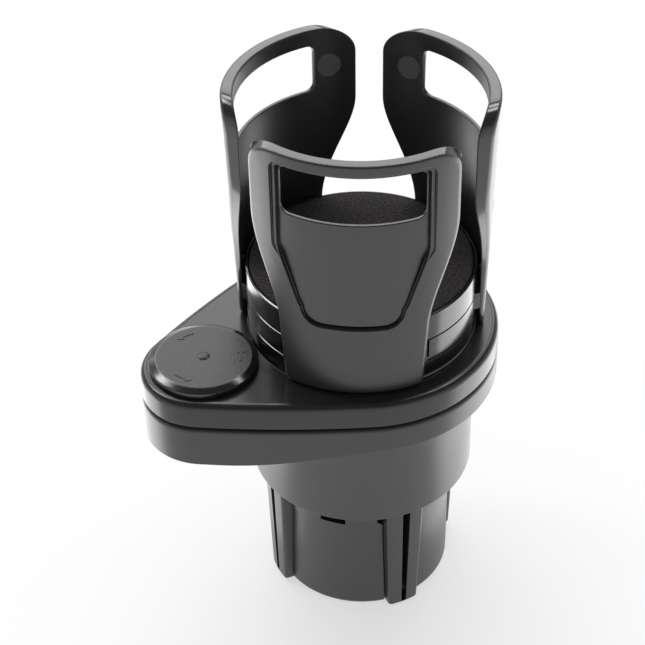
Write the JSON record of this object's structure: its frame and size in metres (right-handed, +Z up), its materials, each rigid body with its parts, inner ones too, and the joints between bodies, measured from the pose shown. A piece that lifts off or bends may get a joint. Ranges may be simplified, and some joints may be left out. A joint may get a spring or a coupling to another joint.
{
  "type": "car cup holder",
  "caption": "Car cup holder adapter: a spreading foot for the car's well, an offset swing arm with a clamp knob, and a padded drum with claws that grip a cup.",
  "frame": {"origin": "middle of the foot's flat underside, on the axis of the foot and the cup", "axes": "+Z up along the cup axis, -X towards the clamp knob"},
  "size_m": [0.1363, 0.1014, 0.2157],
  "materials": {
    "sleeve_plastic": "satin moulded black plastic",
    "leg_plastic": "satin moulded black plastic",
    "collar_plastic": "satin moulded black plastic",
    "arm_plastic": "satin moulded black plastic, finely textured top",
    "drum_plastic": "semi-gloss black plastic",
    "knob_plastic": "fine textured black plastic",
    "claw_plastic": "smooth semi-gloss black plastic",
    "inner_plastic": "plain moulded plastic",
    "foam": "open black foam",
    "steel": "plated steel",
    "brass": "plain brass"
  },
  "bodies": {
    "foot": {"base_sleeve": "sleeve_plastic", "base_screw": "steel"},
    "leg_a": {"leg_1": "leg_plastic"},
    "leg_b": {"leg_2": "leg_plastic"},
    "leg_c": {"leg_3": "leg_plastic"},
    "leg_d": {"leg_4": "leg_plastic"},
    "neck": {"collar": "collar_plastic", "spreader_cam": "inner_plastic", "neck_screw_1": "steel", "neck_screw_2": "steel", "neck_screw_3": "steel", "lower_arm": "arm_plastic", "lower_lid": "inner_plastic", "friction_disc": "inner_plastic", "pivot_bolt": "steel"},
    "swing_arm": {"upper_arm": "arm_plastic", "upper_cover": "inner_plastic", "drum_base": "drum_plastic", "guide_band": "drum_plastic", "drum_screw_1": "steel", "drum_screw_2": "steel", "drum_screw_3": "steel"},
    "clamp": {"knob": "knob_plastic", "knob_nut": "brass"},
    "cap": {"cup_cap": "drum_plastic", "scroll_plate": "inner_plastic", "cap_screw": "steel", "foam_mat": "foam"},
    "grip_a": {"claw_1": "claw_plastic"},
    "grip_b": {"claw_2": "claw_plastic"},
    "grip_c": {"claw_3": "claw_plastic"}
  },
  "joints": [
    {"name": "neck_turn", "type": "hinge", "parent": "foot", "child": "neck", "pos_m": [0, 0, 0.0537], "axis": [0, 0, 1], "range_deg": [0, 50]},
    {"name": "leg_a_spread", "type": "slide", "parent": "foot", "child": "leg_a", "axis": [1, 0, 0], "range_m": [0, 0.005]},
    {"name": "leg_b_spread", "type": "slide", "parent": "foot", "child": "leg_b", "axis": [0, 1, 0], "range_m": [0, 0.005]},
    {"name": "leg_c_spread", "type": "slide", "parent": "foot", "child": "leg_c", "axis": [-1, 0, 0], "range_m": [0, 0.005]},
    {"name": "leg_d_spread", "type": "slide", "parent": "foot", "child": "leg_d", "axis": [0, -1, 0], "range_m": [0, 0.005]},
    {"name": "arm_swing", "type": "hinge", "parent": "neck", "child": "swing_arm", "pos_m": [-0.0627, 0, 0.1083], "axis": [0, 0, 1], "continuous": true},
    {"name": "knob_turn", "type": "hinge", "parent": "swing_arm", "child": "clamp", "pos_m": [-0.0627, 0, 0.1184], "axis": [0, 0, 1], "range_deg": [-180, 0]},
    {"name": "cap_turn", "type": "hinge", "parent": "swing_arm", "child": "cap", "pos_m": [0, 0, 0.1351], "axis": [0, 0, 1], "range_deg": [0, 90]},
    {"name": "grip_a_open", "type": "slide", "parent": "swing_arm", "child": "grip_a", "axis": [1, 0, 0], "range_m": [0, 0.008]},
    {"name": "grip_b_open", "type": "slide", "parent": "swing_arm", "child": "grip_b", "axis": [-0.5, 0.866, 0], "range_m": [0, 0.008]},
    {"name": "grip_c_open", "type": "slide", "parent": "swing_arm", "child": "grip_c", "axis": [-0.5, -0.866, 0], "range_m": [0, 0.008]}
  ],
  "couplings": [
    {"joint": "leg_a_spread", "follows": "neck_turn", "m_per_rad": 0.0057296},
    {"joint": "leg_b_spread", "follows": "neck_turn", "m_per_rad": 0.0057296},
    {"joint": "leg_c_spread", "follows": "neck_turn", "m_per_rad": 0.0057296},
    {"joint": "leg_d_spread", "follows": "neck_turn", "m_per_rad": 0.0057296},
    {"joint": "grip_a_open", "follows": "cap_turn", "m_per_rad": 0.0050929},
    {"joint": "grip_b_open", "follows": "cap_turn", "m_per_rad": 0.0050929},
    {"joint": "grip_c_open", "follows": "cap_turn", "m_per_rad": 0.0050929}
  ]
}
